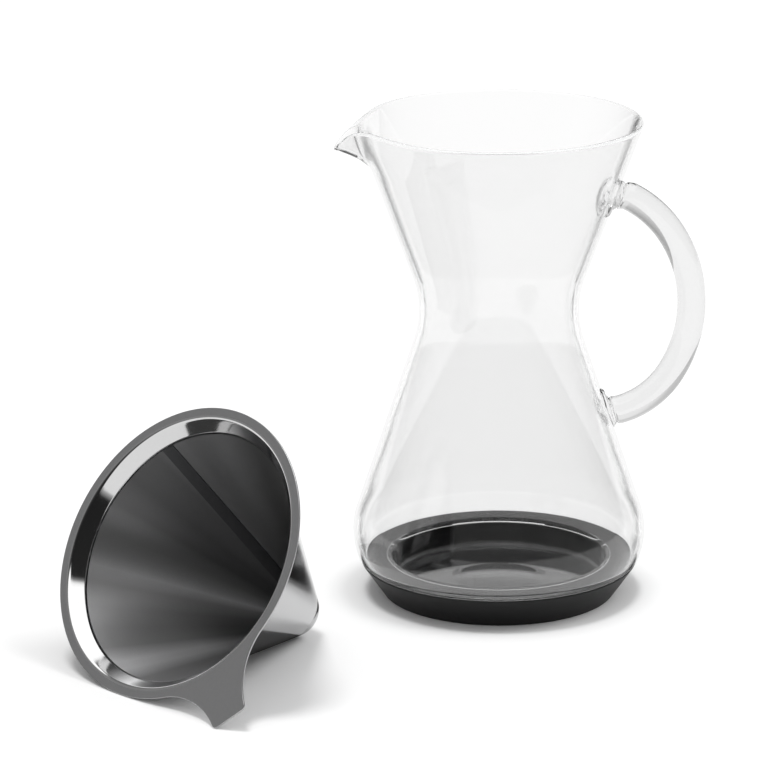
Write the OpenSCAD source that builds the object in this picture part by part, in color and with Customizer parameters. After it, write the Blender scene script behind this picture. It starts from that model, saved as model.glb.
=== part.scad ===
/* [Glass body] */
// Height of the mouth rim above the table
rim_z = 211.5; // [200:0.1:225]
// Outer radius of the mouth rim
rim_r = 62.6; // [58:0.1:66]
// Half angle of the upper funnel, from upright
funnel_angle = 20.1; // [18:0.05:22]
// Half angle of the lower cone, from upright
skirt_angle = 18.45; // [16:0.05:20]
// Outer radius of the belly where it is widest
belly_r = 64; // [60:0.1:68]
// Height of the widest ring above the table
belly_z = 28; // [26:0.1:32]
// Radius of the rounded belly, in section
belly_round = 30; // [24:0.1:34]
// Radius of the blend at the waist, in section
waist_round = 44; // [30:0.5:55]
// Thickness of the blown glass
glass_wall = 2.4; // [1.8:0.1:3]

/* [Glass foot] */
// Outer radius of the sunken part of the foot
well_r = 49; // [44:0.1:50]
// Radius of the rounded corner under the sunken part
well_round = 5; // [3:0.1:6]
// Radius of the outer heel where the belly turns under
heel_round = 1.5; // [1:0.1:2.5]
// Radius of the step edge inside the glass
step_round = 2; // [1.2:0.1:3]
// Radius of the raised ring in the middle of the floor
punt_r = 19.5; // [14:0.1:24]
// Rise of the middle of the floor
punt_h = 1; // [0.4:0.1:1.6]

/* [Pouring spout] */
// Reach of the beak past the rim circle
spout_reach = 10.1; // [6:0.1:12]
// Width of the beak as an angle to each side
spout_spread = 4.1; // [4:0.1:7]
// Drop of the beak's tip below the rim
spout_drop = 8.6; // [4:0.1:10]
// Width of the drop as an angle to each side
drop_spread = 3; // [2.9:0.1:6]
// Height of the band that the spout is drawn from
spout_depth = 20; // [18:0.5:26]
// Thickness of the glass at the beak's tip
beak_wall = 1.8; // [1.2:0.1:2]
// Inward pinch of the rim beside the beak
pinch = 2.4; // [0:0.1:4]
// Angle of the pinch from the beak's middle
pinch_at = 23.5; // [20:0.5:34]
// Spread of the pinch as an angle
pinch_spread = 19; // [14:0.5:22]

/* [Rod handle] */
// Radius of the glass rod
rod_r = 6.2; // [5:0.1:7]
// Radius of the rod where its ends are drawn thinner
drawn_r = 6.12; // [5.5:0.01:6.15]
// Radius of the long arc behind the fingers
grip_round = 58.1; // [50:0.1:64]
// Distance of the long arc's centre from the axis
grip_x = 27; // [22:0.1:32]
// Drop of the long arc's centre below the mouth rim
grip_drop = 84.8; // [80:0.1:89]
// Angle where the long arc meets the upper arc
grip_top = 35; // [28:0.5:42]
// Angle below level where the long arc meets the lower arc
grip_bottom = 32; // [26:0.5:38]
// Radius of the upper arc
upper_round = 50.8; // [46:0.1:55]
// Radius of the lower arc
lower_round = 36.9; // [34:0.1:40]
// Radius of the upper weld on the glass
upper_pad_r = 10; // [8:0.1:12]
// Height of the upper weld off the glass
upper_pad_h = 6.9; // [4:0.1:9]
// Radius of the lower weld on the glass
lower_pad_r = 9; // [7.5:0.1:11]
// Height of the lower weld off the glass
lower_pad_h = 5; // [3:0.1:7]

/* [Silicone boot] */
// Thickness of the boot's wall where it stands on the table
boot_wall = 1.6; // [1:0.1:4]
// Outward flare of the boot's side from its foot to its top
boot_flare = 9.7; // [6:0.1:11]
// Height of the boot
boot_h = 14.4; // [12:0.1:16]
// Thickness of the boot's floor
boot_floor = 1.4; // [1:0.1:2.5]
// Clearance round the glass foot in the boot
boot_gap = 0.3; // [0.2:0.05:0.6]
// Radius of the boot's lower outer edge
boot_edge = 1; // [0.5:0.1:1.5]

/* [Cone filter] */
// Outer radius of the flat flange
flange_r = 63.5; // [61:0.1:67]
// Inner radius of the flat flange
flange_in_r = 60; // [58.5:0.1:61]
// Thickness of the flange and collar sheet
flange_t = 0.8; // [0.6:0.05:1]
// Radius of the bend from flange to collar
collar_bend = 2; // [1.5:0.1:3]
// Slope of the polished collar below level
collar_slope = 52; // [46:0.5:60]
// Depth of the collar below the flange
collar_depth = 6.4; // [5:0.1:9]
// Thickness of the etched cone sheet
cone_t = 0.5; // [0.4:0.05:0.7]
// Depth of the cone's tip below the flange
cone_depth = 85; // [76:0.5:92]
// Outer radius of the cone at its tip
tip_r = 9.6; // [8:0.1:12]
// Height of the cap that closes the tip
cap_h = 6; // [4:0.1:9]
// Radius of the cap's rounded edge
cap_round = 2; // [1:0.1:3]
// Width of the welded seam along the cone
seam_w = 5.6; // [3:0.1:7]
// Thickness of the welded seam
seam_t = 0.3; // [0.2:0.05:0.4]
// Angle of the seam from the tab
seam_at = 173; // [130:1:210]

/* [Filter tab] */
// Distance of the tab's end from the flange's centre
tab_reach = 85.2; // [78:0.1:92]
// Half width of the tab where it is narrowest
tab_half = 8.5; // [6:0.1:11]
// Radius of the hollow at each side of the tab
tab_hollow = 31.5; // [28:0.5:36]
// Radius of the tab's corners
tab_corner = 2; // [1:0.1:3]

/* [Filter on the table] */
// Place of the flange's centre left of the carafe's axis
filter_x = -149.4; // [-170:0.1:-145]
// Place of the flange's centre in front of the carafe's axis
filter_y = -88.5; // [-120:0.1:-70]
// Heading of the cone's tip seen from above
filter_heading = 37.9; // [20:0.5:60]

/* [Hidden] */

// Overrun of every cutting solid past the faces that it cuts
cut = 1;

// Steps of the section's arcs, and of the band round the mouth
arc_steps = 9;
mouth_steps = 96;
band_steps = 8;
lip_steps = 5;

// Points of an arc about a centre, from one angle to another
function arc(c, r, from, to) =
    [for (i = [0 : arc_steps]) let (a = from + (to - from)*i/arc_steps) c + r*[cos(a), sin(a)]];

// Distance of the belly's arc centre from the axis
belly_c = belly_r - belly_round;

// Radius of the lower cone line at a height, for a wall moved inwards
function skirt_r(z, inwards) =
    belly_c + (belly_round - inwards)/cos(skirt_angle) - (z - belly_z)*tan(skirt_angle);

// Radius of the upper funnel line at a height, for a wall moved inwards
function funnel_r(z, inwards) = rim_r - inwards/cos(funnel_angle) - (rim_z - z)*tan(funnel_angle);

// Height where the two outer lines would cross without the blend
cross_z = belly_z + (belly_c + belly_round/cos(skirt_angle) - rim_r + rim_z*tan(funnel_angle)
          - belly_z*tan(funnel_angle))/(tan(skirt_angle) + tan(funnel_angle));
cross_r = funnel_r(cross_z, 0);

// Centre of the waist blend: a round that touches both lines from outside
half_turn = (skirt_angle + funnel_angle)/2;
waist_out = waist_round/cos(half_turn);
waist_lean = (funnel_angle - skirt_angle)/2;
waist_c = [cross_r + waist_out*cos(waist_lean), cross_z - waist_out*sin(waist_lean)];

// Heights of the foot's surfaces
foot_z = boot_floor + boot_gap;
heel_z = boot_h;

// Outer radii of the boot at the table and at its top
boot_foot_r = well_r + boot_gap + boot_wall;
boot_top_r = boot_foot_r + boot_flare;

// Centre of the round that turns the belly under at the heel
function heel_c(edge, inwards, z) =
    [belly_c + sqrt(pow(belly_round - inwards - edge, 2) - pow(belly_z - z - edge, 2)), z + edge];

// Angle on the belly's arc where the heel's round leaves it
function heel_angle(c) = atan2(c[1] - belly_z, c[0] - belly_c);

// Outer section from the middle of the floor up to the spout's band
outer_heel = heel_c(heel_round, 0, heel_z);
punt_sphere = (pow(punt_r, 2) + pow(punt_h, 2))/(2*punt_h);
punt_angle = asin(punt_r/punt_sphere);
outer_path = concat(
    arc([0, foot_z + punt_h - punt_sphere], punt_sphere, 90, 90 - punt_angle),
    arc([well_r - well_round, foot_z + well_round], well_round, 270, 360),
    [[well_r, heel_z]],
    arc(outer_heel, heel_round, 270, 360 + heel_angle(outer_heel)),
    arc([belly_c, belly_z], belly_round, heel_angle(outer_heel), skirt_angle),
    arc(waist_c, waist_round, 180 + skirt_angle, 180 - funnel_angle));

// Inner section from the spout's band down to the middle of the floor
inner_heel = heel_c(heel_round, glass_wall, heel_z + glass_wall);
inner_well_r = well_r - glass_wall;
inner_path = concat(
    arc(waist_c, waist_round + glass_wall, 180 - funnel_angle, 180 + skirt_angle),
    arc([belly_c, belly_z], belly_round - glass_wall, skirt_angle, heel_angle(inner_heel)),
    arc(inner_heel, heel_round, 360 + heel_angle(inner_heel), 270),
    arc([inner_well_r + step_round, heel_z + glass_wall - step_round], step_round, 90, 180),
    arc([well_r - well_round, foot_z + well_round], well_round - glass_wall, 360, 270),
    arc([0, foot_z + punt_h - punt_sphere], punt_sphere + glass_wall, 90 - punt_angle, 90));

// The band under the rim that the spout is drawn from, and the middle of its lip
band_z = rim_z - spout_depth;
lip_z = rim_z - glass_wall/2;

// Angles round the mouth, close together at the spout
near_share = 0.2;
function mouth_angle(i) = let (u = 2*i/mouth_steps - 1) 180*u*(near_share + (1 - near_share)*abs(u));

// Bell shape of the beak and of its drop, and the pinch beside it
function bell(a, spread) = 1/(1 + pow(a/spread, 2));
function pinched(a) = exp(-pow((abs(a) - pinch_at)/pinch_spread, 2));

// Share of the full beak at a share of the band's height
ramp_power = 1.5;
function ramp(t) = pow(t, ramp_power);

// A point midway through the glass of the band
function band_point(a, t) =
    let (z = band_z + (lip_z - band_z)*t,
         beak = spout_reach*bell(a, spout_spread) - pinch*pinched(a),
         r = funnel_r(z, glass_wall/2) + ramp(t)*beak)
    [-r*cos(a), -r*sin(a), z - ramp(t)*spout_drop*bell(a, drop_spread)];

// Outward direction, and upward direction along the surface, by small differences
da = 0.2;
dt = 0.02;
function unit(v) = v/norm(v);
function climb(a, t) = unit(band_point(a, t + dt) - band_point(a, t - dt));
function outward(a, t) = unit(cross(band_point(a + da, t) - band_point(a - da, t),
                                    band_point(a, t + dt) - band_point(a, t - dt)));

// Half the thickness of the glass, which is drawn thinner towards the beak
function half_wall(a, t) = (glass_wall - (glass_wall - beak_wall)*ramp(t)*bell(a, 2*spout_spread))/2;

// A point on one face of the band: side 1 is the outer face, side -1 the inner one
function face_point(a, t, side) = band_point(a, t) + side*half_wall(a, t)*outward(a, t);

// A point where the band stands in the funnel, a little inside its faces and below its top
seat_step = 0.15;
function foot_point(a, inwards) =
    let (z = band_z - seat_step)
    [-funnel_r(z, inwards)*cos(a), -funnel_r(z, inwards)*sin(a), z];

// A point of the rounded lip, from the outer face over the top to the inner face
function lip_point(a, turn) =
    band_point(a, 1) + half_wall(a, 1)*(cos(turn)*outward(a, 1) + sin(turn)*climb(a, 1));

// Points of one upright line: outer face, rounded lip, inner face
function band_line(a) = concat(
    [foot_point(a, seat_step)],
    [for (k = [1 : band_steps]) face_point(a, k/band_steps, 1)],
    [for (k = [1 : lip_steps - 1]) lip_point(a, 180*k/lip_steps)],
    [for (k = [band_steps : -1 : 1]) face_point(a, k/band_steps, -1)],
    [foot_point(a, glass_wall - seat_step)]);

// Shape of the mouth as one closed skin
line_points = 2*(band_steps + 1) + lip_steps - 1;
band_points = [for (i = [0 : mouth_steps - 1]) each band_line(mouth_angle(i))];
band_faces = [for (i = [0 : mouth_steps - 1], k = [0 : line_points - 1])
    let (j = (i + 1)%mouth_steps, m = (k + 1)%line_points,
         p = i*line_points + k, q = j*line_points + k, r = j*line_points + m, s = i*line_points + m)
    each [[p, r, q], [p, s, r]]];

// Arc centres of the handle's centre line in its own plane
grip_c = [grip_x, rim_z - grip_drop];
upper_c = grip_c + (grip_round - upper_round)*[cos(grip_top), sin(grip_top)];
lower_c = grip_c + (grip_round - lower_round)*[cos(grip_bottom), -sin(grip_bottom)];

// Angles on the end arcs where the centre line meets the glass, by a few halving steps
function upper_gap(a) = let (p = upper_c + upper_round*[cos(a), sin(a)]) p[0] - funnel_r(p[1], 0);
function lower_gap(a) = let (p = lower_c + lower_round*[cos(a), sin(a)]) p[0] - skirt_r(p[1], 0);
function halve_upper(low, high, n) = let (mid = (low + high)/2)
    n == 0 ? mid : upper_gap(mid) > 0 ? halve_upper(mid, high, n - 1) : halve_upper(low, mid, n - 1);
function halve_lower(low, high, n) = let (mid = (low + high)/2)
    n == 0 ? mid : lower_gap(mid) > 0 ? halve_lower(low, mid, n - 1) : halve_lower(mid, high, n - 1);
upper_root = halve_upper(grip_top, 110, 30);
lower_root = halve_lower(-110, -grip_bottom, 30);

// Angles where the rod starts and ends, past the welds
upper_end = upper_root - upper_pad_h/upper_round*180/PI;
lower_end = lower_root + lower_pad_h/lower_round*180/PI;

// Cone filter, in its own frame: flange up, tip down, tab along X
collar_c = [flange_in_r, -collar_bend];
collar_top = collar_c + collar_bend*[cos(90 + collar_slope), sin(90 + collar_slope)];
collar_r = collar_top[0] - (collar_depth + collar_top[1])/tan(collar_slope);
collar_out_r = collar_r + flange_t/sin(collar_slope);
cone_angle = atan((collar_out_r - tip_r)/(cone_depth - collar_depth));
cone_in_t = cone_t/cos(cone_angle);
cap_z = -cone_depth + cap_h;
cap_r = tip_r + cap_h*tan(cone_angle);

// Outer radius of the cone at a height
function cone_r(z) = collar_out_r + (z + collar_depth)*tan(cone_angle);

// Centre of the hollow beside the tab, and half the tab's width where its corners start
hollow_c = [sqrt(pow(flange_r + tab_hollow, 2) - pow(tab_half + tab_hollow, 2)), tab_half + tab_hollow];
corner_x = tab_reach - tab_corner;
short = min(0, corner_x - hollow_c[0]);
end_half = hollow_c[1] - sqrt(pow(tab_hollow, 2) - pow(short, 2));

// The filter leans on its flange, one corner of its tab and its tip
corner_r = norm([corner_x, end_half - tab_corner]);
corner_at = atan((end_half - tab_corner)/corner_x);
tab_swing = acos((flange_r - tab_corner)/corner_r) + corner_at;
cap_edge_r = tip_r - cap_round*tan((90 - cone_angle)/2);
lean_a = flange_r - cap_edge_r;
lean_b = cone_depth - cap_round - flange_t;
lean = acos(cap_round/norm([lean_a, lean_b])) - atan(lean_b/lean_a);
filter_rise = flange_r*cos(lean) + flange_t*sin(lean);

// Places the filter as it lies on the table
module on_table() {
    translate([filter_x, filter_y, filter_rise])
        rotate([0, 0, filter_heading])
            rotate([0, lean - 90, 0])
                rotate([0, 0, 180 + tab_swing])
                    children();
}

// Black boot that the foot of the glass sits in
module silicone_boot() {
    side = atan((boot_top_r - boot_foot_r)/boot_h);
    edge_c = [boot_foot_r + boot_edge*(tan(side) - 1/cos(side)), boot_edge];
    inner = well_r + boot_gap;
    color([0.07, 0.07, 0.075])
        rotate_extrude($fn = 180)
            polygon(concat(
                [[0, 0]],
                arc(edge_c, boot_edge, 270, 360 - side),
                [[boot_top_r, boot_h], [inner, boot_h]],
                arc([well_r - well_round, foot_z + well_round], well_round + boot_gap, 360, 270),
                [[0, boot_floor]]));
}

// Blown glass body with its mouth and spout
module glass_vessel() {
    color([0.93, 0.94, 0.94, 0.35])
        union() {
            rotate_extrude($fn = 180)
                polygon(concat(
                    outer_path,
                    [[funnel_r(band_z, 0), band_z], [funnel_r(band_z, glass_wall), band_z]],
                    inner_path));
            polyhedron(points = band_points, faces = band_faces);
        }
}

// One bend of the rod in the handle's upright plane
module rod_bend(c, r, from, to, thick) {
    translate([c[0], 0, c[1]])
        rotate([90, 0, 0])
            rotate([0, 0, from])
                rotate_extrude(angle = to - from, $fn = 180)
                    translate([r, 0])
                        circle(r = thick, $fn = 48);
}

// Glass rod bent into the handle
module glass_handle() {
    color([0.95, 0.96, 0.96, 0.35])
        union() {
            rod_bend(upper_c, upper_round, grip_top, upper_end, drawn_r);
            rod_bend(grip_c, grip_round, -grip_bottom, grip_top, rod_r);
            rod_bend(lower_c, lower_round, lower_end, -grip_bottom, drawn_r);
        }
}

// Weld button from the rod's end face down to the glass, where it is widest
module weld_button(c, r, at, turn, pad_r, pad_h) {
    sink = pad_r/2;
    neck = pad_r - rod_r;
    translate([c[0] + r*cos(at), 0, c[1] + r*sin(at)])
        rotate([0, 90 - at + turn, 0])
            rotate_extrude($fn = 96)
                polygon(concat(
                    [[0, -pad_h - sink], [pad_r, -pad_h - sink]],
                    [for (i = [0 : arc_steps]) let (a = 90*i/arc_steps)
                        [pad_r - neck*sin(a), -pad_h*cos(a)]],
                    [[0, 0]]));
}

// Solid inside the glass's outer face, from the belly up to the rim
module outer_solid() {
    rotate_extrude($fn = 180)
        polygon(concat(
            [[0, belly_z]],
            arc([belly_c, belly_z], belly_round, 0, skirt_angle),
            arc(waist_c, waist_round, 180 + skirt_angle, 180 - funnel_angle),
            [[funnel_r(rim_z, 0), rim_z], [0, rim_z]]));
}

// Weld between the funnel and the top of the rod
module upper_handle_weld() {
    color([0.9, 0.91, 0.91, 0.35])
        difference() {
            weld_button(upper_c, upper_round, upper_end, 90, upper_pad_r, upper_pad_h);
            outer_solid();
        }
}

// Weld between the skirt and the bottom of the rod
module lower_handle_weld() {
    color([0.9, 0.91, 0.91, 0.35])
        difference() {
            weld_button(lower_c, lower_round, lower_end, -90, lower_pad_r, lower_pad_h);
            outer_solid();
        }
}

// Flat outline of the tab, with a hollow at each side and rounded corners
module tab_outline() {
    hollow_from = 180 + atan(hollow_c[1]/hollow_c[0]);
    edge = concat(
        arc(hollow_c, tab_hollow, hollow_from, 360 - acos(short/tab_hollow)),
        arc([corner_x, end_half - tab_corner], tab_corner, 90, 0));
    polygon(concat(
        [[0, 0]],
        [for (p = edge) [p[0], -p[1]]],
        [for (k = [len(edge) - 1 : -1 : 0]) edge[k]]));
}

// Pressed steel rim: flange, tab and polished collar
module filter_rim() {
    color([0.6, 0.6, 0.61])
        on_table()
            union() {
                rotate_extrude($fn = 180)
                    polygon(concat(
                        arc(collar_c, collar_bend, 90, 90 + collar_slope),
                        [[collar_r, -collar_depth], [collar_out_r, -collar_depth]],
                        arc(collar_c, collar_bend - flange_t, 90 + collar_slope, 90)));
                translate([0, 0, -flange_t])
                    linear_extrude(height = flange_t)
                        difference() {
                            union() {
                                circle(r = flange_r, $fn = 180);
                                tab_outline();
                            }
                            circle(r = flange_in_r, $fn = 180);
                        }
            }
}

// Solid cone from the collar's end to a height, made smaller by a step inwards
module cone_core(z, inwards) {
    rotate_extrude($fn = 180)
        polygon([[0, z], [cone_r(z) - inwards, z],
                 [collar_out_r - inwards, -collar_depth], [0, -collar_depth]]);
}

// Etched steel cone, open at both ends
module filter_cone() {
    color([0.36, 0.36, 0.37])
        on_table()
            rotate_extrude($fn = 180)
                polygon([[cap_r - cone_in_t, cap_z], [cap_r, cap_z],
                         [collar_out_r, -collar_depth], [collar_out_r - cone_in_t, -collar_depth]]);
}

// Lapped seam along the inside of the cone
module filter_seam() {
    color([0.22, 0.22, 0.23])
        on_table()
            intersection() {
                difference() {
                    cone_core(cap_z, cone_in_t);
                    cone_core(cap_z - cut, cone_in_t + seam_t);
                }
                rotate([0, 0, seam_at])
                    translate([0, -seam_w/2, -cone_depth])
                        cube([flange_r, seam_w, cone_depth]);
            }
}

// Pressed cap that closes the cone's tip
module filter_tip_cap() {
    inner_round = cap_round - cone_t;
    edge_c = [cap_edge_r, -cone_depth + cap_round];
    color([0.5, 0.5, 0.51])
        on_table()
            rotate_extrude($fn = 96)
                polygon(concat(
                    [[0, -cone_depth]],
                    arc(edge_c, cap_round, 270, 360 - cone_angle),
                    [[cap_r, cap_z], [cap_r - cone_in_t, cap_z]],
                    arc(edge_c, inner_round, 360 - cone_angle, 270),
                    [[0, cone_t - cone_depth]]));
}

silicone_boot();
glass_vessel();
glass_handle();
upper_handle_weld();
lower_handle_weld();
filter_rim();
filter_cone();
filter_seam();
filter_tip_cap();
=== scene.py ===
import math

import bpy
import numpy as np
from mathutils import Matrix, Vector

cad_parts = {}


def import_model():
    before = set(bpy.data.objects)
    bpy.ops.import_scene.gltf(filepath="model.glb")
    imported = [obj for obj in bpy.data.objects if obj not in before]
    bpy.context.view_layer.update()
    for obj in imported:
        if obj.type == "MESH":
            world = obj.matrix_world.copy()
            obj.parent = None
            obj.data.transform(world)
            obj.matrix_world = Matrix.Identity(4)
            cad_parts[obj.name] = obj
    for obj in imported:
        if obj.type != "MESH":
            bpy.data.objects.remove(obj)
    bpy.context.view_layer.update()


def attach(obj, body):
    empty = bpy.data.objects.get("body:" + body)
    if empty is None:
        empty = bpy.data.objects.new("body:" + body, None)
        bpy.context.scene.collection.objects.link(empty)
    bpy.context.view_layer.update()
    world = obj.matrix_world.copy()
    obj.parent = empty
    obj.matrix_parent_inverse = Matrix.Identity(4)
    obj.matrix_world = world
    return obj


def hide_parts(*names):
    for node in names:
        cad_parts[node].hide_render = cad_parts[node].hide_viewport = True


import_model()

scene = bpy.context.scene
MM = 0.001
TAU = 2 * math.pi
deg = math.radians

# ---- sizes of the glass and the boot, in millimetres, as in the CAD ----
RIM_Z, RIM_R = 211.5, 62.6
FUNNEL, SKIRT = deg(20.1), deg(18.45)
BELLY_R, BELLY_Z, BELLY_ROUND = 64.0, 28.0, 30.0
WAIST_ROUND, WALL = 44.0, 2.4
WELL_R, WELL_ROUND, WELL_EDGE = 49.0, 5.0, 0.4
HEEL_ROUND, STEP_ROUND = 1.5, 2.0
PUNT_R, PUNT_H = 19.5, 1.0
BOOT_FLOOR, BOOT_GAP, BOOT_H = 1.4, 0.3, 14.4
BOOT_FOOT_R, BOOT_TOP_R = 50.9, 60.6
BOOT_FOOT_EDGE, BOOT_TOP_EDGE = 1.0, 0.5

# the beak and the pinch beside it, drawn from the band under the rim
REACH, SPREAD, DROP, DROP_SPREAD = 10.1, deg(4.1), 8.6, deg(3.0)
SPOUT_DEPTH, BEAK_WALL = 20.0, 1.8
PINCH, PINCH_AT, PINCH_SPREAD = 2.4, deg(23.5), deg(19.0)
RAMP_POWER = 1.5

BELLY_C = (BELLY_R - BELLY_ROUND, BELLY_Z)
FOOT_Z = BOOT_FLOOR + BOOT_GAP
HEEL_Z = BOOT_H
WELL_C = (WELL_R - WELL_ROUND, FOOT_Z + WELL_ROUND)
PUNT_BALL = (PUNT_R**2 + PUNT_H**2) / (2 * PUNT_H)
PUNT_C = (0, FOOT_Z + PUNT_H - PUNT_BALL)
PUNT_TURN = math.asin(PUNT_R / PUNT_BALL)
BAND_Z, LIP_Z = RIM_Z - SPOUT_DEPTH, RIM_Z - WALL / 2
# the plain funnel's rows end this far from the band's foot: below it outside, above it inside
BAND_MARGIN = 0.5


# ---- lines and arcs in the plane of a section ----
def skirt_r(z):
    return BELLY_C[0] + BELLY_ROUND / math.cos(SKIRT) - (z - BELLY_Z) * math.tan(SKIRT)


def funnel_r(z, inwards=0.0):
    return RIM_R - inwards / math.cos(FUNNEL) - (RIM_Z - z) * math.tan(FUNNEL)


def on_arc(c, r, a):
    return (c[0] + r * math.cos(a), c[1] + r * math.sin(a))


def arc(c, r, a, b, steps):
    t = np.linspace(a, b, steps + 1)
    return np.stack([c[0] + r * np.cos(t), c[1] + r * np.sin(t)], 1)


def line(p, q, steps):
    t = np.linspace(0, 1, steps + 1)[:, None]
    return np.asarray(p, float) * (1 - t) + np.asarray(q, float) * t


COARSE_STEP, FINE_STEP, FINE_REACH, PROBES = 2.4, 0.45, 11, 4000


def line_by(p, q, height):
    """A line whose points stand close together near one height."""
    t = np.linspace(0, 1, PROBES + 1)
    z = p[1] + (q[1] - p[1]) * t
    near = np.abs(z - height) < FINE_REACH
    step = COARSE_STEP + (FINE_STEP - COARSE_STEP) * near
    length = np.hypot(q[0] - p[0], q[1] - p[1])
    run = np.concatenate([[0], np.cumsum(length / PROBES / step[1:])])
    at = np.interp(np.linspace(0, run[-1], int(run[-1]) + 2), run, t)[:, None]
    return np.asarray(p, float) * (1 - at) + np.asarray(q, float) * at


def join(*parts, least=1e-4):
    """One run of points; a point that repeats the one before it is left out."""
    rows = []
    for part in parts:
        for p in np.atleast_2d(part):
            if not rows or np.hypot(*(p - rows[-1])) > least:
                rows.append(p)
    return np.array(rows)


# ---- section of the vessel, from the middle of its foot up to the band ----
CROSS_Z = BELLY_Z + (
    BELLY_C[0] + BELLY_ROUND / math.cos(SKIRT) - RIM_R + (RIM_Z - BELLY_Z) * math.tan(FUNNEL)
) / (math.tan(SKIRT) + math.tan(FUNNEL))
WAIST_C = on_arc(
    (funnel_r(CROSS_Z), CROSS_Z),
    WAIST_ROUND / math.cos((SKIRT + FUNNEL) / 2),
    (SKIRT - FUNNEL) / 2,
)


def heel(inwards, z):
    """The heel's centre, and the angle at which it runs into the belly."""
    reach = BELLY_ROUND - inwards - HEEL_ROUND
    rise = BELLY_Z - z - HEEL_ROUND
    c = (BELLY_C[0] + math.sqrt(reach**2 - rise**2), z + HEEL_ROUND)
    return c, math.atan2(c[1] - BELLY_C[1], c[0] - BELLY_C[0])


def profile_outer():
    c, turn = heel(0, HEEL_Z)
    edge = (WELL_R + WELL_EDGE, HEEL_Z - WELL_EDGE)
    return join(
        arc(PUNT_C, PUNT_BALL, TAU / 4, TAU / 4 - PUNT_TURN, steps=10),
        line((PUNT_R, FOOT_Z), (WELL_C[0], FOOT_Z), steps=6),
        arc(WELL_C, WELL_ROUND, -TAU / 4, 0, steps=14),
        line((WELL_R, WELL_C[1]), (WELL_R, edge[1]), steps=4),
        arc(edge, WELL_EDGE, TAU / 2, TAU / 4, steps=5),
        line((edge[0], HEEL_Z), (c[0], HEEL_Z), steps=6),
        arc(c, HEEL_ROUND, -TAU / 4, turn, steps=10),
        arc(BELLY_C, BELLY_ROUND, turn, SKIRT, steps=36),
        line_by(
            on_arc(BELLY_C, BELLY_ROUND, SKIRT),
            on_arc(WAIST_C, WAIST_ROUND, TAU / 2 + SKIRT),
            LOWER_SPOT[1],
        ),
        arc(WAIST_C, WAIST_ROUND, TAU / 2 + SKIRT, TAU / 2 - FUNNEL, steps=26),
        line_by(
            on_arc(WAIST_C, WAIST_ROUND, TAU / 2 - FUNNEL),
            (funnel_r(BAND_Z - BAND_MARGIN), BAND_Z - BAND_MARGIN),
            UPPER_SPOT[1],
        ),
    )


def profile_inner():
    shelf, floor_z = HEEL_Z + WALL, FOOT_Z + WALL
    c, turn = heel(WALL, shelf)
    waist, belly = WAIST_ROUND + WALL, BELLY_ROUND - WALL
    step = (WELL_R - WALL + STEP_ROUND, shelf - STEP_ROUND)
    return join(
        line(
            (funnel_r(BAND_Z + BAND_MARGIN, WALL), BAND_Z + BAND_MARGIN),
            on_arc(WAIST_C, waist, TAU / 2 - FUNNEL),
            steps=40,
        ),
        arc(WAIST_C, waist, TAU / 2 - FUNNEL, TAU / 2 + SKIRT, steps=26),
        line(
            on_arc(WAIST_C, waist, TAU / 2 + SKIRT),
            on_arc(BELLY_C, belly, SKIRT),
            steps=40,
        ),
        arc(BELLY_C, belly, SKIRT, turn, steps=36),
        arc(c, HEEL_ROUND, turn, -TAU / 4, steps=10),
        arc(step, STEP_ROUND, TAU / 4, TAU / 2, steps=10),
        arc(WELL_C, WELL_ROUND - WALL, 0, -TAU / 4, steps=12),
        line((WELL_C[0], floor_z), (PUNT_R + 1, floor_z), steps=8),
        arc(PUNT_C, PUNT_BALL + WALL, TAU / 4 - PUNT_TURN, TAU / 4, steps=10),
    )


# ---- the band under the rim, with its beak: a is the angle from the beak, and t goes from 0 at the
# band's foot to 1 at the lip ----
def bell(a, spread):
    return 1 / (1 + (a / spread) ** 2)


def pinched(a):
    return np.exp(-(((np.abs(a) - PINCH_AT) / PINCH_SPREAD) ** 2))


def band_mid(a, t):
    """The middle of the glass in the band."""
    ramp = np.maximum(t, 0) ** RAMP_POWER
    z = BAND_Z + (LIP_Z - BAND_Z) * t
    r = funnel_r(z, WALL / 2) + ramp * (REACH * bell(a, SPREAD) - PINCH * pinched(a))
    drop = ramp * DROP * bell(a, DROP_SPREAD)
    return np.stack([-r * np.cos(a), -r * np.sin(a), z - drop], -1)


def unit(v):
    return v / np.linalg.norm(v, axis=-1, keepdims=True)


def band_axes(a, t, da=0.002, dt=0.01):
    """The directions up along the glass and out of it, and half its thickness there."""
    up = unit(band_mid(a, t + dt) - band_mid(a, t - dt))
    out = unit(np.cross(band_mid(a + da, t) - band_mid(a - da, t), up))
    ramp = np.maximum(t, 0) ** RAMP_POWER
    half = (WALL - (WALL - BEAK_WALL) * ramp * bell(a, 2 * SPREAD)) / 2
    return up, out, np.asarray(half)[..., None]


# ---- meshes ----
def new_object(name, data):
    obj = bpy.data.objects.new(name, data)
    scene.collection.objects.link(obj)
    return obj


def mesh_object(name, points, faces):
    mesh = bpy.data.meshes.new(name)
    mesh.from_pydata(points, [], faces)
    return new_object(name, mesh)


def grid_faces(rows, cols):
    """The squares between closed rows of points, each with its row and column."""
    for i in range(rows - 1):
        for j in range(cols):
            k = (j + 1) % cols
            yield i, j, (i * cols + j, i * cols + k, (i + 1) * cols + k, (i + 1) * cols + j)


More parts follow.
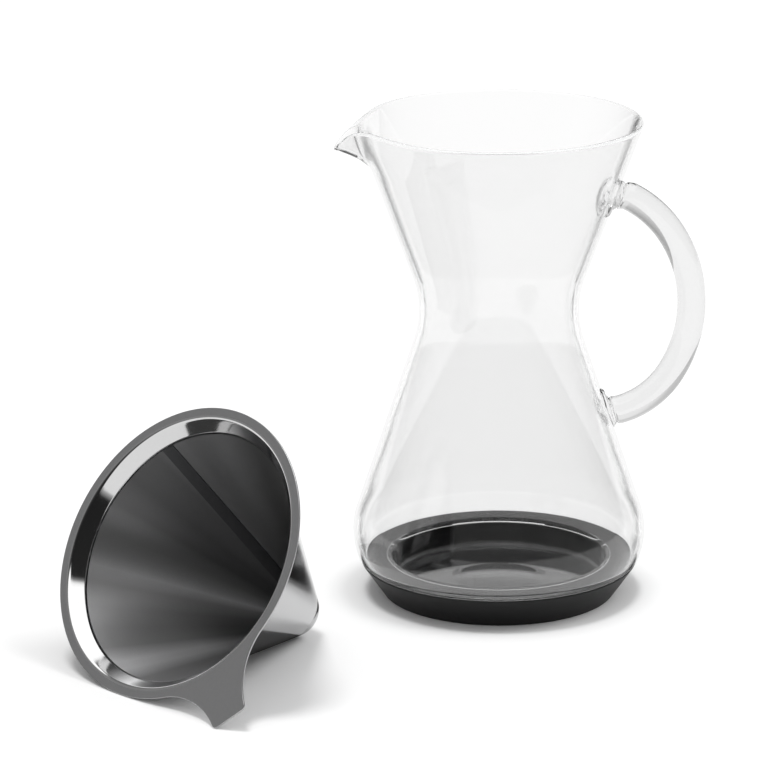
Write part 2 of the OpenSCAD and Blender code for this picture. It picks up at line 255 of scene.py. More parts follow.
def grid_mesh(name, grid, capped=False, smooth=True, skip=None):
    """A skin over closed rows of points. Caps close the first and last row on a middle point."""
    rows, cols, _ = grid.shape
    points = [tuple(p) for p in (grid.reshape(-1, 3) * MM)]
    faces = [face for i, j, face in grid_faces(rows, cols) if skip is None or not skip[i, j]]
    for row in (0, rows - 1) if capped else ():
        hub = len(points)
        points.append(tuple(grid[row].mean(0) * MM))
        for j in range(cols):
            pair = (row * cols + j, row * cols + (j + 1) % cols)
            faces.append((hub,) + (pair if row else pair[::-1]))
    obj = mesh_object(name, points, faces)
    obj.data.validate()
    obj.data.update()
    if smooth:
        obj.data.polygons.foreach_set("use_smooth", [True] * len(obj.data.polygons))
    return obj


def turned(profile, angles, least_r=0.02):
    """Rows of points: a profile of (radius, height) carried round the Z axis."""
    r = np.maximum(profile[:, 0], least_r)[:, None]
    z = profile[:, 1][:, None] + 0 * angles[None]
    return np.stack([r * np.cos(angles), r * np.sin(angles), z], -1)


def paint(mesh, name, tones):
    """A grey for each point, kept as a colour attribute."""
    layer = mesh.color_attributes.new(name=name, type="FLOAT_COLOR", domain="POINT")
    for point, tone in zip(layer.data, tones):
        point.color = (tone, tone, tone, 1)


# ---- handle: three arcs of rod in the plane of X and Z ----
ROD_R, GRIP_ROUND, GRIP_C = 6.2, 58.1, (27.0, 126.7)
GRIP_TOP, GRIP_BOTTOM = deg(35), deg(32)
UPPER_ROUND, LOWER_ROUND = 50.8, 36.9
UPPER_H, LOWER_H = 6.9, 5.0
UPPER_C = on_arc(GRIP_C, GRIP_ROUND - UPPER_ROUND, GRIP_TOP)
LOWER_C = on_arc(GRIP_C, GRIP_ROUND - LOWER_ROUND, -GRIP_BOTTOM)
ROD_COLS = 96


def root(f, a, b, halvings=50):
    for _ in range(halvings):
        m = (a + b) / 2
        if f(a) * f(m) <= 0:
            b = m
        else:
            a = m
    return (a + b) / 2


def gap_to(wall, c, r):
    """How far a point of an arc, given by its angle, is from a wall."""

    def gap(a):
        x, z = on_arc(c, r, a)
        return x - wall(z)

    return gap


UPPER_ROOT = root(gap_to(funnel_r, UPPER_C, UPPER_ROUND), GRIP_TOP, deg(110))
LOWER_ROOT = root(gap_to(skirt_r, LOWER_C, LOWER_ROUND), deg(-110), -GRIP_BOTTOM)
UPPER_END = UPPER_ROOT - UPPER_H / UPPER_ROUND
LOWER_END = LOWER_ROOT + LOWER_H / LOWER_ROUND


def ring(centre, toward, radius):
    """A circle about a point of the handle's plane, square to a direction in that plane."""
    t = np.linspace(0, TAU, ROD_COLS, endpoint=False)
    toward = np.array([toward[0], 0, toward[1]]) / math.hypot(*toward)
    side = np.array([0.0, 1.0, 0.0])
    other = np.cross(side, toward)
    c = np.array([centre[0], 0, centre[1]])
    return c + radius * (np.cos(t)[:, None] * other + np.sin(t)[:, None] * side)


def rod_grid():
    rows = []
    spans = (
        (UPPER_C, UPPER_ROUND, UPPER_END, GRIP_TOP, 40),
        (GRIP_C, GRIP_ROUND, GRIP_TOP, -GRIP_BOTTOM, 70),
        (LOWER_C, LOWER_ROUND, -GRIP_BOTTOM, LOWER_END, 30),
    )
    for n, (c, r, a, b, steps) in enumerate(spans):
        for i in range(0 if n == 0 else 1, steps + 1):
            t = a + (b - a) * i / steps
            rows.append(ring(on_arc(c, r, t), (math.sin(t), -math.cos(t)), ROD_R))
    return np.array(rows)


# ---- welds: how far each climbs on its way to the glass, its one-sided fillet, and the share of
# the way from the glass at which its groove lies ----
UPPER_CLIMB, LOWER_CLIMB = 0.7, -0.5
UPPER_FILLET, LOWER_FILLET = -2.6, 3.0
UPPER_GROOVE, LOWER_GROOVE = 0.52, 0.42
WELD_BASE_R, WELD_ROWS, FILLET_FADE = 7.6, 64, 0.9


def weld_skin(groove):
    """Shares of the way from the glass, and radii: the flare, a narrow groove, then the rod."""
    return (
        (0.0, WELD_BASE_R), (0.05, 7.2), (0.12, 6.85), (groove - 0.14, 6.4),
        (groove - 0.1, 6.15), (groove - 0.05, 5.8), (groove, 5.7), (groove + 0.05, 5.8),
        (groove + 0.1, 6.1), (groove + 0.14, ROD_R), (1.0, ROD_R),
    )


def weld_grid(c, r, end, sign, climb, wall, lean, fillet, groove):
    """Rows from the rod's end face to the glass, and the spot that they reach there."""
    start = np.array(on_arc(c, r, end))
    toward = np.array([math.sin(end), -math.cos(end)]) * -sign
    spot = np.array([wall(start[1] + climb), start[1] + climb])
    square = np.array([-math.cos(lean), math.sin(lean)])
    reach = np.hypot(*(spot - start))
    shares, radii = zip(*weld_skin(groove))
    rows = []
    for share in np.linspace(1, 0, WELD_ROWS):
        done = 1 - share
        centre = start * share + spot * done
        heading = toward * share + square * done
        row = ring(centre, heading, float(np.interp(share, shares, radii)))
        # the fillet swells on one side only, close to the glass
        side = np.clip((row[:, 2] - centre[1]) * np.sign(fillet) / ROD_R, 0, 1)
        row[:, 2] += fillet * np.exp(-share * reach / FILLET_FADE) * side
        rows.append(row)
    grid = np.array(rows)
    # no point goes into the glass, and the last row rests on it
    for i in range(WELD_ROWS):
        for j in range(ROD_COLS):
            x, y, z = grid[i, j]
            rho = math.hypot(x, y)
            if rho < wall(z) or i == WELD_ROWS - 1:
                grid[i, j, 0] = x * wall(z) / rho
                grid[i, j, 1] = y * wall(z) / rho
    return grid, spot


UPPER_WELD, UPPER_SPOT = weld_grid(
    UPPER_C, UPPER_ROUND, UPPER_END, 1, UPPER_CLIMB, funnel_r, FUNNEL, UPPER_FILLET, UPPER_GROOVE
)
LOWER_WELD, LOWER_SPOT = weld_grid(
    LOWER_C, LOWER_ROUND, LOWER_END, -1, LOWER_CLIMB, skirt_r, -SKIRT, LOWER_FILLET, LOWER_GROOVE
)

# ---- vessel ----
# its columns stand close together at the beak and at the handle
VESSEL_COLS, CROWDING = 400, 0.375
BAND_ROWS, LIP_ROWS = 30, 12
# lens shaped swellings inside, behind the two welds: place, radius and rise
SWELLINGS = ((UPPER_SPOT, 11.5, 1.7), (LOWER_SPOT, 8.0, 0.8))
# the glass is open under each weld, a little inside the weld's edge
HOLE_R, HOLE_STRETCH = WELD_BASE_R - 0.3, 0.9


def vessel_grid():
    """Rows up the outside, over the lip and down the inside, and the squares left out."""
    u = np.linspace(-1, 1, VESSEL_COLS, endpoint=False)
    a = TAU / 2 * u - CROWDING * np.sin(TAU * u)
    turn = a + TAU / 2
    outside, inside = turned(profile_outer(), turn), turned(profile_inner(), turn)
    for spot, width, rise in SWELLINGS:
        height = (inside[..., 2] - spot[1]) / math.cos(FUNNEL)
        d = np.hypot(height, inside[..., 1]) / width
        here = (d < 1) & (inside[..., 0] > 0)
        inside[..., 0] -= np.where(here, rise * (1 - d**2) ** 2, 0)

    def band_rows(levels, sign):
        for k in levels:
            _, out, half = band_axes(a, k / BAND_ROWS)
            yield (band_mid(a, k / BAND_ROWS) + sign * half * out)[None]

    def lip_rows():
        up, out, half = band_axes(a, 1.0)
        for k in range(1, LIP_ROWS):
            s = TAU / 2 * k / LIP_ROWS
            yield (band_mid(a, 1.0) + half * (math.cos(s) * out + math.sin(s) * up))[None]

    grid = np.concatenate([
        outside,
        *band_rows(range(1, BAND_ROWS + 1), 1),
        *lip_rows(),
        *band_rows(range(BAND_ROWS, 0, -1), -1),
        inside,
    ])
    mids = (grid[:-1] + grid[1:] + np.roll(grid[:-1], -1, 1) + np.roll(grid[1:], -1, 1)) / 4
    skip = np.zeros(mids.shape[:2], bool)
    for spot, fillet in ((UPPER_SPOT, UPPER_FILLET), (LOWER_SPOT, LOWER_FILLET)):
        height = (mids[..., 2] - spot[1]) / math.cos(FUNNEL)
        drawn_out = HOLE_R / (HOLE_R + HOLE_STRETCH * abs(fillet))
        height = np.where(height * fillet > 0, height * drawn_out, height)
        skip |= (np.hypot(height, mids[..., 1]) < HOLE_R) & (mids[..., 0] > 0)
    skip[len(outside):] = False
    return grid, skip


# ---- materials ----
def material(name, sockets):
    """A node material, with values set straight on its shader."""
    m = bpy.data.materials.new(name)
    m.use_nodes = True
    nodes, links = m.node_tree.nodes, m.node_tree.links
    shader = nodes["Principled BSDF"]
    for socket, value in sockets.items():
        shader.inputs[socket].default_value = value
    return m, nodes, links, shader


def grey(tone):
    return (tone, tone, tone, 1)


def add_math(nodes, links, operation, first, second):
    """A math node on an output and either another output or a number."""
    node = nodes.new("ShaderNodeMath")
    node.operation = operation
    links.new(first, node.inputs[0])
    if isinstance(second, float):
        node.inputs[1].default_value = second
    else:
        links.new(second, node.inputs[1])
    return node.outputs[0]


def add_colour_mix(nodes, a, b):
    node = nodes.new("ShaderNodeMix")
    node.data_type = "RGBA"
    node.inputs["A"].default_value = a
    node.inputs["B"].default_value = b
    return node


def add_noise(nodes, links, scale, detail=2):
    coord = nodes.new("ShaderNodeTexCoord")
    noise = nodes.new("ShaderNodeTexNoise")
    noise.inputs["Scale"].default_value = scale
    noise.inputs["Detail"].default_value = detail
    links.new(coord.outputs["Object"], noise.inputs["Vector"])
    return noise.outputs[0]


def add_shader_mix(nodes, links, factor, first, colour):
    """A shader that gives way to plain see-through glass of one colour."""
    clear = nodes.new("ShaderNodeBsdfTransparent")
    clear.inputs["Color"].default_value = colour
    mix = nodes.new("ShaderNodeMixShader")
    links.new(factor, mix.inputs["Fac"])
    links.new(first, mix.inputs[1])
    links.new(clear.outputs[0], mix.inputs[2])
    return mix.outputs[0]


# how many times light is bent in the glass, the tint where it passes straight through instead, and
# where a thin wall's outermost strip begins
LAST_BEND, PASSING_TINT = 4.5, (0.975, 0.977, 0.977, 1)
STRIP_FROM, STRIP_TO = 0.68, 0.82


def glass_material(name, clear, edge, sharp, strip=None):
    """Glass whose tint goes from clear to edge where it is seen from the side."""
    m, nodes, links, shader = material(name, {
        "Transmission Weight": 1.0,
        "Roughness": 0.0,
        "IOR": 1.47,
        "Specular Tint": grey(0.85),
    })
    facing = nodes.new("ShaderNodeLayerWeight")
    facing.inputs["Blend"].default_value = 0.5
    tint = add_colour_mix(nodes, grey(clear), grey(edge))
    power = add_math(nodes, links, "POWER", facing.outputs["Facing"], sharp)
    links.new(power, tint.inputs["Factor"])
    links.new(tint.outputs["Result"], shader.inputs["Base Color"])
    # shadows and soft light pass, and light that is caught in the wall leaves it after a few turns
    path = nodes.new("ShaderNodeLightPath")
    passing = add_math(
        nodes, links, "MAXIMUM", path.outputs["Is Shadow Ray"], path.outputs["Is Diffuse Ray"]
    )
    caught = add_math(nodes, links, "GREATER_THAN", path.outputs["Ray Depth"], LAST_BEND)
    passing = add_math(nodes, links, "MAXIMUM", passing, caught)
    surface = add_shader_mix(nodes, links, passing, shader.outputs[0], PASSING_TINT)
    if strip is not None:
        # the outermost strip of a thin wall is plain grey, not a mirror
        edge_on = nodes.new("ShaderNodeMapRange")
        edge_on.inputs["From Min"].default_value = STRIP_FROM
        edge_on.inputs["From Max"].default_value = STRIP_TO
        links.new(facing.outputs["Facing"], edge_on.inputs["Value"])
        surface = add_shader_mix(nodes, links, edge_on.outputs[0], surface, grey(strip))
    links.new(surface, nodes["Material Output"].inputs["Surface"])
    return m


def rubber_material():
    m, nodes, links, shader = material("black_silicone", {
        "Base Color": (0.005, 0.005, 0.0052, 1),
        "Roughness": 0.5,
        "Specular IOR Level": 0.26,
    })
    bump = nodes.new("ShaderNodeBump")
    bump.inputs["Strength"].default_value = 0.02
    bump.inputs["Distance"].default_value = 0.0001
    links.new(add_noise(nodes, links, 1800), bump.inputs["Height"])
    links.new(bump.outputs[0], shader.inputs["Normal"])
    return m


def steel_material(name, colour, rough, grain, vary, painted=None):
    """Steel with a fine grain; vary is how far its colour goes each way."""
    m, nodes, links, shader = material(name, {"Metallic": 1.0, "Roughness": rough})
    shade = add_colour_mix(
        nodes,
        (*[c * (1 - vary) for c in colour], 1),
        (*[c * (1 + vary) for c in colour], 1),
    )
    links.new(add_noise(nodes, links, grain, detail=3), shade.inputs["Factor"])
    # a colour layer can multiply the colour; the cone's holds painted highlights and painted shade
    if painted:
        layer = nodes.new("ShaderNodeAttribute")
        layer.attribute_name = painted
        times = nodes.new("ShaderNodeMix")
        times.data_type = "RGBA"
        times.blend_type = "MULTIPLY"
        times.inputs["Factor"].default_value = 1.0
        links.new(shade.outputs["Result"], times.inputs["A"])
        links.new(layer.outputs["Color"], times.inputs["B"])
        shade = times
    links.new(shade.outputs["Result"], shader.inputs["Base Color"])
    return m


def matt(name, tone, rough):
    """A dull grey without any gloss."""
    return material(name, {
        "Base Color": grey(tone),
        "Roughness": rough,
        "Specular IOR Level": 0.0,
    })[0]


def put(obj, mat, body, slot, *nodes):
    """Give a piece its material and its body, and hide the CAD nodes that it stands for. The slot
    is not used.
    """
    obj.data.materials.append(mat)
    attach(obj, body)
    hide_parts(*nodes)
    return obj


# ---- the carafe's pieces ----
VESSEL_GLASS = glass_material("clear_glass", clear=0.91, edge=0.6, sharp=5.0, strip=0.92)
ROD_GLASS = glass_material("rod_glass", clear=0.79, edge=0.54, sharp=1.8)

vessel, holes = vessel_grid()
put(
    grid_mesh("carafe_glass", vessel, capped=True, skip=holes),
    VESSEL_GLASS, "carafe", "vessel_glass", "glass_vessel",
)
put(
    grid_mesh("handle_rod", rod_grid()),
    ROD_GLASS, "carafe", "rod_glass", "glass_handle",
)
put(
    grid_mesh("upper_weld", UPPER_WELD),
    ROD_GLASS, "carafe", "rod_glass", "upper_handle_weld",
)
put(
    grid_mesh("lower_weld", LOWER_WELD),
    ROD_GLASS, "carafe", "rod_glass", "lower_handle_weld",
)

# ---- boot ----
# the angles of a turned piece, and how near its profile comes to the axis
ROUND = np.linspace(0, TAU, 256, endpoint=False)
AXIS_R = 0.01


def boot_profile():
    side = math.atan((BOOT_TOP_R - BOOT_FOOT_R) / BOOT_H)
    foot = (BOOT_FOOT_R + BOOT_FOOT_EDGE * (math.tan(side) - 1 / math.cos(side)), BOOT_FOOT_EDGE)
    inner = WELL_R + BOOT_GAP
    e = BOOT_TOP_EDGE
    top = (BOOT_TOP_R - e * 1.5, BOOT_H - e)
    return join(
        line((AXIS_R, 0), (foot[0], 0), steps=3),
        arc(foot, BOOT_FOOT_EDGE, -TAU / 4, -side, steps=8),
        arc(top, e, -side, TAU / 4, steps=8),
        line((top[0], BOOT_H), (inner + e, BOOT_H), steps=4),
        arc((inner + e, BOOT_H - e), e, TAU / 4, TAU / 2, steps=6),
        arc(WELL_C, WELL_ROUND + BOOT_GAP, 0, -TAU / 4, steps=12),
        line((WELL_C[0], BOOT_FLOOR), (AXIS_R, BOOT_FLOOR), steps=6),
    )


put(
    grid_mesh("boot", turned(boot_profile(), ROUND), capped=True),
    rubber_material(), "base", "boot", "silicone_boot",
)

# ---- filter, in its own frame: flange on top, tip down, tab along X; sizes as in the CAD ----
FLANGE_R, FLANGE_IN, SHEET, BEND = 63.5, 60.0, 0.8, 2.0
SLOPE, COLLAR_DEPTH = deg(52), 6.4
CONE_T, CONE_DEPTH, TIP_R, CAP_H, CAP_ROUND = 0.5, 85.0, 9.6, 6.0, 2.0
SEAM_W, SEAM_T, SEAM_AT = 5.6, 0.3, deg(173)
TAB_REACH, TAB_HALF, TAB_HOLLOW, TAB_CORNER = 85.2, 8.5, 31.5, 2.0
FILTER_X, FILTER_Y, HEADING = -149.4, -88.5, deg(37.9)

COLLAR_C = (FLANGE_IN, -BEND)
COLLAR_TOP = on_arc(COLLAR_C, BEND, TAU / 4 + SLOPE)
COLLAR_R = COLLAR_TOP[0] - (COLLAR_DEPTH + COLLAR_TOP[1]) / math.tan(SLOPE)
COLLAR_OUT = COLLAR_R + SHEET / math.sin(SLOPE)
CONE = math.atan((COLLAR_OUT - TIP_R) / (CONE_DEPTH - COLLAR_DEPTH))
CONE_ACROSS = CONE_T / math.cos(CONE)
CONE_LOW, CONE_HIGH = CAP_H - CONE_DEPTH, -COLLAR_DEPTH
CAP_R = TIP_R + CAP_H * math.tan(CONE)
CAP_EDGE = TIP_R - CAP_ROUND * math.tan((TAU / 4 - CONE) / 2)

TAB_SIDE = TAB_HALF + TAB_HOLLOW
TAB_ALONG = math.sqrt((FLANGE_R + TAB_HOLLOW) ** 2 - TAB_SIDE**2)
CORNER_X = TAB_REACH - TAB_CORNER
END_HALF = TAB_SIDE - math.sqrt(TAB_HOLLOW**2 - min(0, CORNER_X - TAB_ALONG) ** 2)
CORNER_C = (CORNER_X, END_HALF - TAB_CORNER)

# on the table it rests on the edge of its flange, the corner of its tab and the edge of its cap
SWING = math.acos((FLANGE_R - TAB_CORNER) / math.hypot(*CORNER_C))
SWING += math.atan(CORNER_C[1] / CORNER_C[0])
LEAN_A, LEAN_B = FLANGE_R - CAP_EDGE, CONE_DEPTH - CAP_ROUND - SHEET
LEAN = math.acos(CAP_ROUND / math.hypot(LEAN_A, LEAN_B)) - math.atan(LEAN_B / LEAN_A)
RISE = FLANGE_R * math.cos(LEAN) + SHEET * math.sin(LEAN)

ON_TABLE = (
    Matrix.Translation((FILTER_X, FILTER_Y, RISE))
    @ Matrix.Rotation(HEADING, 4, "Z")
    @ Matrix.Rotation(LEAN - TAU / 4, 4, "Y")
    @ Matrix.Rotation(TAU / 2 + SWING, 4, "Z")
)
TURN = np.array(ON_TABLE.to_3x3())
SHIFT = np.array(ON_TABLE.translation)


def laid(grid):
    return grid @ TURN.T + SHIFT


def unlaid(point):
    """A point of a laid piece, in metres, back in the filter's own frame."""
    return TURN.T @ (np.array(point) / MM - SHIFT)


def cone_r(z):
    return COLLAR_OUT + (z + COLLAR_DEPTH) * math.tan(CONE)


def tab_outline():
    """Points of the flange's outline, anticlockwise from the tab's middle."""
    touch = math.atan2(TAB_SIDE, TAB_ALONG)
    start = math.atan2(END_HALF - TAB_SIDE, CORNER_X - TAB_ALONG)
    upper = join(
        line((TAB_REACH, 0.0), (TAB_REACH, CORNER_C[1]), steps=6)[1:],
        arc(CORNER_C, TAB_CORNER, 0, TAU / 4, steps=8),
        arc((TAB_ALONG, TAB_SIDE), TAB_HOLLOW, start, touch - TAU / 2, steps=24),
        arc((0, 0), FLANGE_R, touch, TAU / 2, steps=150),
    )
    lower = upper[::-1][1:] * [1, -1]
    return join(np.array([[TAB_REACH, 0.0]]), upper, lower)


FLAT_R, SHEET_EDGE = 61.5, 0.18


def rim_grid():
    """Rows from the collar's foot out under the flange, round its edge and back in on top."""
    outline = tab_outline()
    phi = np.arctan2(outline[:, 1], outline[:, 0])
    along = np.roll(outline, -1, 0) - np.roll(outline, 1, 0)
    out = unit(np.stack([along[:, 1], -along[:, 0]], 1))
    e = SHEET_EDGE

    def edge(inwards, z):
        p = outline - out * inwards
        return np.stack([p[:, 0], p[:, 1], z + 0 * phi], 1)

    def flat(r, z):
        return np.stack([r * np.cos(phi), r * np.sin(phi), z + 0 * phi], 1)

    quarter = [(math.sin(t), math.cos(t)) for t in np.linspace(0, 1, 5) * TAU / 4]
    foot = flat(COLLAR_OUT, -COLLAR_DEPTH)
    return np.array([
        foot,
        *[flat(*p) for p in arc(COLLAR_C, BEND - SHEET, TAU / 4 + SLOPE, TAU / 4, steps=8)],
        flat(FLAT_R, -SHEET),
        edge(e * 3, -SHEET),
        *[edge(e - e * s, -SHEET + e - e * c) for s, c in quarter],
        *[edge(e - e * c, -e + e * s) for s, c in quarter],
        edge(e * 3, 0),
        flat(FLAT_R, 0),
        *[flat(*p) for p in arc(COLLAR_C, BEND, TAU / 4, TAU / 4 + SLOPE, steps=14)],
        *[flat(*p) for p in line(COLLAR_TOP, (COLLAR_R, -COLLAR_DEPTH), steps=6)[1:]],
        foot,
    ])


def cone_profile():
    return join(
        line(
            (cone_r(CONE_HIGH) - CONE_ACROSS, CONE_HIGH),
            (cone_r(CONE_LOW) - CONE_ACROSS, CONE_LOW),
            steps=40,
        ),
        line((cone_r(CONE_LOW), CONE_LOW), (cone_r(CONE_HIGH), CONE_HIGH), steps=40),
        [[cone_r(CONE_HIGH) - CONE_ACROSS, CONE_HIGH]],
    )


def cap_profile():
    c = (CAP_EDGE, -CONE_DEPTH + CAP_ROUND)
    return join(
        [[AXIS_R, CONE_T - CONE_DEPTH]],
        arc(c, CAP_ROUND - CONE_T, -TAU / 4, -CONE, steps=8),
        line((CAP_R - CONE_ACROSS, CONE_LOW), (CAP_R, CONE_LOW), steps=2),
        arc(c, CAP_ROUND, -CONE, -TAU / 4, steps=10),
        [[AXIS_R, -CONE_DEPTH]],
    )[::-1]


SEAM_COLS, SEAM_ROWS = 7, 40


def seam_grid():
    """Rows round the lap, which lies on the inside of the cone."""
    across = np.linspace(-SEAM_W / 2, SEAM_W / 2, SEAM_COLS)
    c, s = math.cos(SEAM_AT), math.sin(SEAM_AT)
    rows = []
    for z in np.linspace(CONE_LOW, CONE_HIGH, SEAM_ROWS):
        r = cone_r(z) - CONE_ACROSS
        low = np.sqrt(r**2 - across**2)
        top = np.sqrt((r - SEAM_T) ** 2 - across**2)
        x = np.concatenate([low, top[::-1]])
        y = np.concatenate([across, across[::-1]])
        rows.append(np.stack([x * c - y * s, x * s + y * c, z + 0 * x], 1))
    return np.array(rows)


# the collar's inner face is polished, from just inside the flange: the facets that look up out of
# the mouth or towards its middle
POLISHED_R, LOOKS_UP = FLANGE_IN - 0.03, 0.1

rim = put(
    grid_mesh("rim", laid(rim_grid())),
    steel_material("rim_steel", (0.46, 0.46, 0.465), 0.3, 900, 0.05),
    "filter", "rim_steel", "filter_rim",
)
rim.data.materials.append(steel_material("band_steel", (0.6, 0.6, 0.6), 0.07, 900, 0.03))
for poly in rim.data.polygons:
    local = unlaid(poly.center)
    normal = TURN.T @ np.array(poly.normal)
    shows = normal[2] > LOOKS_UP or local[:2] @ normal[:2] < 0
    if math.hypot(local[0], local[1]) < POLISHED_R and shows:
        poly.material_index = 1

# the inside of the cone is etched; painted highlights make it lighter in soft streaks that run
# down to the tip, and painted shade makes other stretches darker: degrees and tone; its outside
# is polished
PAINTED_LIGHT_TONES = (
    (0, 0.22), (100, 0.26), (165, 0.2), (180, 0.09), (196, 0.08), (209, 0.13), (222, 0.36),
    (231, 0.62), (239, 0.95), (247, 0.48), (260, 0.33), (272, 0.33), (284, 0.42), (295, 0.95),
    (302, 0.95), (314, 0.42), (340, 0.3), (360, 0.22),
)


# a point's tone of painted highlight or painted shade, by its turn about the cone's axis
def painted_light_tone(point):
    local = unlaid(point)
    turn = math.degrees(math.atan2(local[1], local[0])) % 360
    return float(np.interp(turn, *zip(*PAINTED_LIGHT_TONES)))


# the cone's inside colour is multiplied by its tone layer of painted highlights and painted shade
cone = put(
    grid_mesh("cone", laid(turned(cone_profile(), ROUND))),
    steel_material("cone_steel", (1.0, 1.0, 1.01), 0.36, 2500, 0.1, painted="tone"),
    "filter", "cone_steel", "filter_cone",
)
cone.data.materials.append(
    steel_material("cone_outside_steel", (0.42, 0.42, 0.425), 0.12, 900, 0.04)
)
# the painted highlights and painted shade go onto the cone's points as its tone layer
paint(cone.data, "tone", [painted_light_tone(vertex.co) for vertex in cone.data.vertices])
for poly in cone.data.polygons:
    local = unlaid(poly.center)
    if math.hypot(local[0], local[1]) > cone_r(local[2]) - CONE_T / 2:
        poly.material_index = 1

put(
    grid_mesh("tip_cap", laid(turned(cap_profile(), ROUND)), capped=True),
    steel_material("cap_steel", (0.5, 0.5, 0.505), 0.14, 900, 0.04),
    "filter", "cap_steel", "filter_tip_cap",
)
put(
    grid_mesh("seam", laid(seam_grid()), capped=True, smooth=False),
    steel_material("seam_steel", (0.06, 0.06, 0.062), 0.4, 900, 0.1),
    "filter", "seam_steel", "filter_seam",
)

# ---- floor and world ----
PHOTO_TURN = deg(7.8)
FLOOR_HALF = 30.0


def floor():
    r = FLOOR_HALF
    obj = mesh_object("floor", [(-r, -r, 0), (r, -r, 0), (r, r, 0), (-r, r, 0)], [(0, 1, 2, 3)])
    obj.data.materials.append(matt("white_floor", 0.92, 0.9))


def world(ambient, shown):
    """White all round: one strength lights the object, the other is what is seen of it."""
    scene.world = bpy.data.worlds.new("studio")
    scene.world.use_nodes = True
    nodes, links = scene.world.node_tree.nodes, scene.world.node_tree.links
    nodes.clear()
    path = nodes.new("ShaderNodeLightPath")
    seen = add_math(
        nodes, links, "MAXIMUM", path.outputs["Is Camera Ray"], path.outputs["Is Glossy Ray"]
    )
    seen = add_math(nodes, links, "MAXIMUM", seen, path.outputs["Is Transmission Ray"])
    mix = nodes.new("ShaderNodeMixShader")
    links.new(seen, mix.inputs["Fac"])
    for socket, strength in ((1, ambient), (2, shown)):
        light = nodes.new("ShaderNodeBackground")
        light.inputs["Color"].default_value = grey(1)
        light.inputs["Strength"].default_value = strength
        links.new(light.outputs[0], mix.inputs[socket])
    links.new(mix.outputs[0], nodes.new("ShaderNodeOutputWorld").inputs["Surface"])


def direction(turn, rise):
    """Turn is clockwise from straight ahead in the photo, rise is the angle above level."""
    turn += PHOTO_TURN
    return (
        math.sin(turn) * math.cos(rise),
        math.cos(turn) * math.cos(rise),
        math.sin(rise),
    )


def sun(name, turn, rise, strength, spread, glints=True):
    """A wide soft light from far off. Without glints it isn't mirrored or seen through glass."""
    data = bpy.data.lights.new(name, "SUN")
    data.energy = strength
    data.angle = spread
    obj = new_object(name, data)
    obj.rotation_euler = (-Vector(direction(turn, rise))).to_track_quat("-Z", "Y").to_euler()
    obj.visible_glossy = glints
    obj.visible_transmission = glints


floor()
world(ambient=0.66, shown=1.0)
sun("key", deg(-70), deg(82), 1.2, deg(17))
sun("fill", deg(88), deg(50), 0.75, deg(30), glints=False)

# ---- the dim room that metal and glass show: tones by degrees from straight ahead ----
MIRRORED = ((-180, -130, -100, -60, -20, 30, 90, 130, 180),
            (0.02, 0.05, 0.34, 0.30, 0.12, 0.10, 0.10, 0.03, 0.02))
THROUGH = ((-120, -40, 10, 35, 110, 130),
           (0.6, 0.6, 0.8, 0.5, 0.5, 0.6))
# a white backdrop low down, a bright softbox overhead, a paler ceiling, and white straight ahead
BACKDROP_RISE, SOFTBOX_RISE, SOFTBOX_TONE = (-1, 3), (53, 57), 1.7
CEILING_RISE, CEILING_TONE = (24, 32), 0.8
AHEAD_TURN, AHEAD_RISE = (5, 20), (16, 24)
ROOM_R = 6
ROOM_TURNS = np.arange(-180, 180, 4)
ROOM_RISES = np.concatenate([[0, 1, 4, 8, 12, 16], np.arange(18, 62, 2), [66, 72, 80, 89]])


def smooth_step(span, x):
    t = min(max((x - span[0]) / (span[1] - span[0]), 0), 1)
    return t * t * (3 - 2 * t)


def blend(tone, other, share):
    return tone + (other - tone) * share


def room_tones(turn, rise):
    """The room's tone in a direction, for mirrored rays and for rays that come through glass."""
    softbox = smooth_step(SOFTBOX_RISE, rise)
    mirrored = float(np.interp(turn, *MIRRORED))
    mirrored = blend(mirrored, 1, 1 - smooth_step(BACKDROP_RISE, rise))
    mirrored = blend(mirrored, SOFTBOX_TONE, softbox)
    ahead = (1 - smooth_step(AHEAD_TURN, abs(turn))) * (1 - smooth_step(AHEAD_RISE, rise))
    through = float(np.interp(turn, *THROUGH))
    through = blend(through, CEILING_TONE, smooth_step(CEILING_RISE, rise))
    through = blend(through, 1, max(ahead, softbox))
    return mirrored, through


def room_material():
    m = bpy.data.materials.new("room_tone")
    m.use_nodes = True
    nodes, links = m.node_tree.nodes, m.node_tree.links
    nodes.clear()
    path = nodes.new("ShaderNodeLightPath")
    mix = nodes.new("ShaderNodeMix")
    mix.data_type = "RGBA"
    links.new(path.outputs["Is Transmission Ray"], mix.inputs["Factor"])
    for socket, name in (("A", "mirrored"), ("B", "through")):
        layer = nodes.new("ShaderNodeAttribute")
        layer.attribute_name = name
        links.new(layer.outputs["Color"], mix.inputs[socket])
    glow = nodes.new("ShaderNodeEmission")
    links.new(mix.outputs["Result"], glow.inputs["Color"])
    links.new(glow.outputs[0], nodes.new("ShaderNodeOutputMaterial").inputs["Surface"])
    m.cycles.emission_sampling = "NONE"
    return m


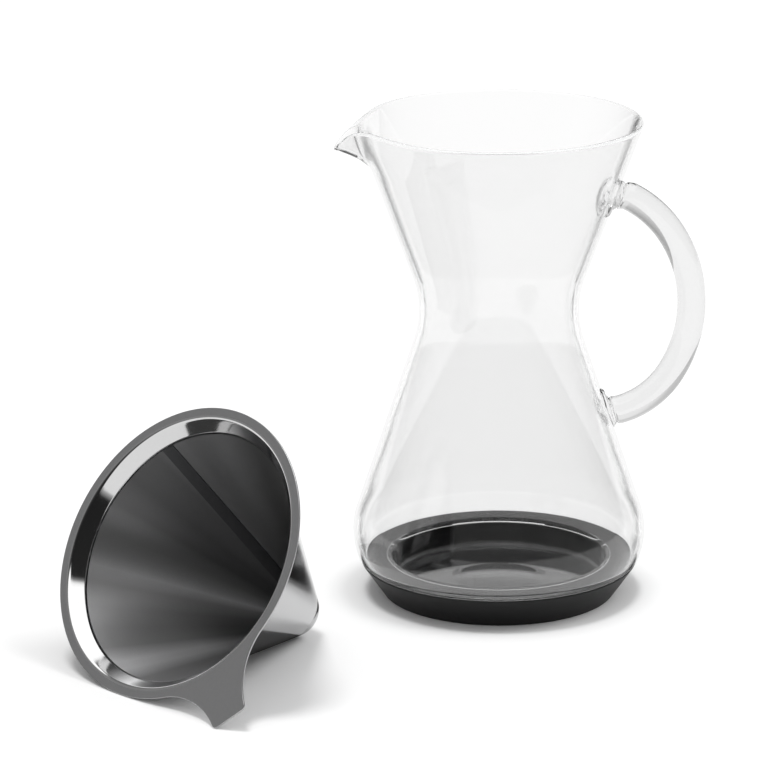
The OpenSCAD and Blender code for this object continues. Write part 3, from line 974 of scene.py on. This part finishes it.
def room():
    points, tones = [], []
    for rise in ROOM_RISES:
        for turn in ROOM_TURNS:
            tones.append(room_tones(float(turn), float(rise)))
            way = direction(deg(float(turn)), deg(float(rise)))
            points.append(tuple(ROOM_R * part for part in way))
    faces = [face for _, _, face in grid_faces(len(ROOM_RISES), len(ROOM_TURNS))]
    obj = mesh_object("room", points, faces)
    paint(obj.data, "mirrored", [tone[0] for tone in tones])
    paint(obj.data, "through", [tone[1] for tone in tones])
    obj.data.materials.append(room_material())
    obj.visible_camera = False
    obj.visible_diffuse = False
    obj.visible_shadow = False
    obj.visible_volume_scatter = False


def flag(name, left, right, tone, near=-122, far=40, up=0.2):
    """A dark card lying by the filter, seen only in the steel; left to far as the photo shows."""
    corners = ((left, near), (right, near), (right, far), (left, far))
    c, s = math.cos(PHOTO_TURN), math.sin(PHOTO_TURN)
    points = [((x * c + y * s) * MM, (y * c - x * s) * MM, up * MM) for x, y in corners]
    obj = mesh_object(name, points, [(0, 1, 2, 3)])
    obj.data.materials.append(matt(name + "_card", tone, 1.0))
    obj.visible_camera = False
    obj.visible_diffuse = False
    obj.visible_transmission = False
    obj.visible_shadow = False


room()
flag("flag_left", -300, -160, 0.05)
flag("flag_right", -160, -86, 0.15)

# ---- camera, where the photograph was taken ----
CAM_X, CAM_DIST, CAM_H = -47.451, 1799.7, 623.59
PITCH, ROLL, F_PX, WIDTH_PX, SENSOR = 0.2876, -0.0068, 4304.15, 780, 36.0


def camera():
    data = bpy.data.cameras.new("camera")
    data.sensor_width = SENSOR
    data.lens = F_PX * SENSOR / WIDTH_PX
    data.clip_start, data.clip_end = 0.05, 100
    obj = new_object("camera", data)
    back_turn = np.array(Matrix.Rotation(-PHOTO_TURN, 3, "Z"))
    forward = np.array([0, math.cos(PITCH), -math.sin(PITCH)])
    level = np.array([1.0, 0, 0])
    above = np.cross(level, forward)
    right = math.cos(ROLL) * level + math.sin(ROLL) * above
    up = -math.sin(ROLL) * level + math.cos(ROLL) * above
    place = back_turn @ np.array([CAM_X, -CAM_DIST, CAM_H]) * MM
    axes = Matrix((back_turn @ np.stack([right, up, -forward], 1)).tolist())
    obj.matrix_world = Matrix.LocRotScale(place, axes.to_quaternion(), (1, 1, 1))
    scene.camera = obj


camera()
scene.view_settings.view_transform = "Standard"
